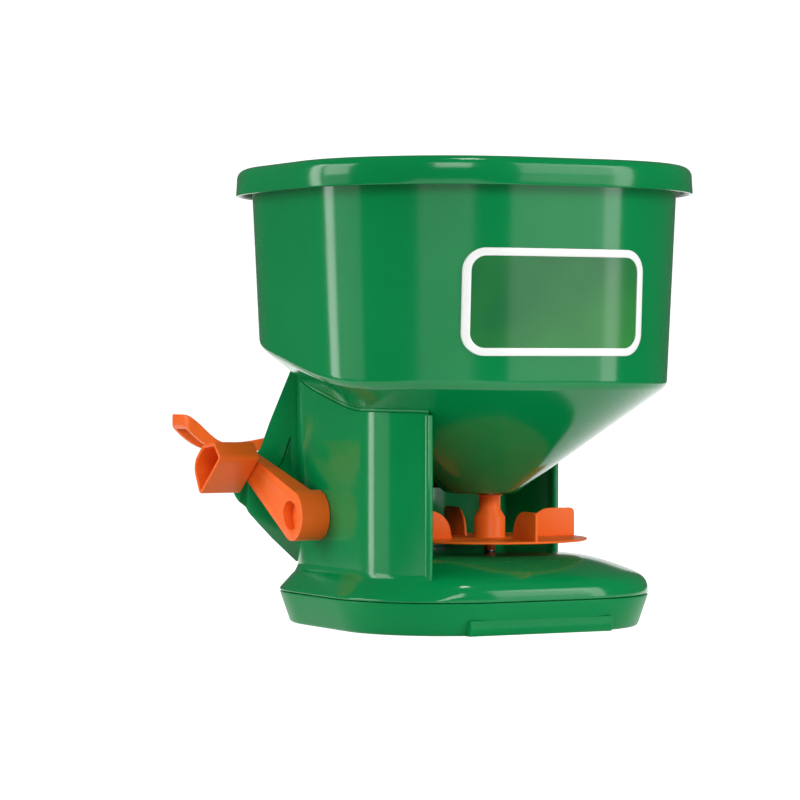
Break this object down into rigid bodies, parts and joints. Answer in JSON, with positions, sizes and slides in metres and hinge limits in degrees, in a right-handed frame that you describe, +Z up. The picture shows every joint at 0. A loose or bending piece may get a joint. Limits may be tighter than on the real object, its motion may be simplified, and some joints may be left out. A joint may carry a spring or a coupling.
{
  "type": "hand crank spreader",
  "caption": "Hand-held crank spreader: open hopper with a gated outlet over a vaned spinner disc, driven by a side crank through gears in the base, with a rear grip and thumb trigger",
  "frame": {"origin": "on the resting plane, under the spinner axis", "axes": "+X is the throw direction, +Y is to the left of it, +Z is up"},
  "size_m": [0.3006, 0.2536, 0.249],
  "materials": {
    "green_plastic": "glossy injection-moulded green plastic",
    "orange_plastic": "satin injection-moulded orange plastic",
    "label_white": "glossy white blank label plate",
    "nylon": "black moulded nylon",
    "steel": "zinc-plated steel"
  },
  "bodies": {
    "body": {"hopper": "green_plastic", "outlet_plate": "green_plastic", "housing": "green_plastic", "bottom_plate": "green_plastic", "chamber_wall": "green_plastic", "label_plate": "label_white", "grip_right_half": "green_plastic", "grip_left_half": "green_plastic", "crank_bush": "nylon", "lay_upper_bush": "nylon", "lay_lower_bush": "nylon", "spinner_upper_bush": "nylon", "spinner_lower_bush": "nylon", "outlet_bush": "nylon", "idler_axle": "steel", "trigger_pivot_pin": "steel", "trigger_spring": "steel", "base_screws": "steel", "hopper_screws": "steel", "grip_screws": "steel", "grip_mount_screws": "steel"},
    "crank": {"crank_arm": "orange_plastic", "crank_shaft": "steel", "crown_gear": "nylon", "crown_pin": "steel", "crank_screw": "steel", "knob_rivet": "steel"},
    "knob": {"crank_knob": "orange_plastic"},
    "lay": {"lay_shaft": "steel", "lay_pinion": "nylon", "lay_gear": "nylon"},
    "idler": {"idler_gear": "nylon"},
    "spinner": {"spinner_disc": "orange_plastic", "spinner_shaft": "steel", "spinner_pinion": "nylon", "agitator": "orange_plastic", "agitator_nut": "steel"},
    "trigger": {"trigger_lever": "orange_plastic", "link_pin": "steel"},
    "gate": {"gate_slide": "nylon", "gate_rod": "nylon"}
  },
  "joints": [
    {"name": "crank_turn", "type": "hinge", "parent": "body", "child": "crank", "pos_m": [-0.08966, -0.05176, 0.06], "axis": [-0.7071, -0.7071, 0], "continuous": true},
    {"name": "knob_spin", "type": "hinge", "parent": "crank", "child": "knob", "pos_m": [-0.13814, -0.03156, 0.08582], "axis": [-0.7071, -0.7071, 0], "continuous": true},
    {"name": "lay_turn", "type": "hinge", "parent": "body", "child": "lay", "pos_m": [-0.0662, -0.0283, 0.02], "axis": [0, 0, 1], "continuous": true},
    {"name": "idler_turn", "type": "hinge", "parent": "body", "child": "idler", "pos_m": [-0.02942, -0.01258, 0.01], "axis": [0, 0, 1], "continuous": true},
    {"name": "spinner_turn", "type": "hinge", "parent": "body", "child": "spinner", "pos_m": [0, 0, 0.04], "axis": [0, 0, 1], "continuous": true},
    {"name": "trigger_press", "type": "hinge", "parent": "body", "child": "trigger", "pos_m": [-0.11799, 0, 0.09842], "axis": [0, -1, 0], "range_deg": [0, 20], "stiffness_Nm_per_rad": 0.15, "springref_deg": -17.19},
    {"name": "gate_travel", "type": "slide", "parent": "body", "child": "gate", "axis": [1, 0, 0], "range_m": [0, 0.0076]}
  ],
  "couplings": [
    {"joint": "lay_turn", "follows": "crank_turn", "ratio": 3.25},
    {"joint": "idler_turn", "follows": "crank_turn", "ratio": -3.25},
    {"joint": "spinner_turn", "follows": "crank_turn", "ratio": 5.4167},
    {"joint": "gate_travel", "follows": "trigger_press", "m_per_rad": 0.0215}
  ]
}
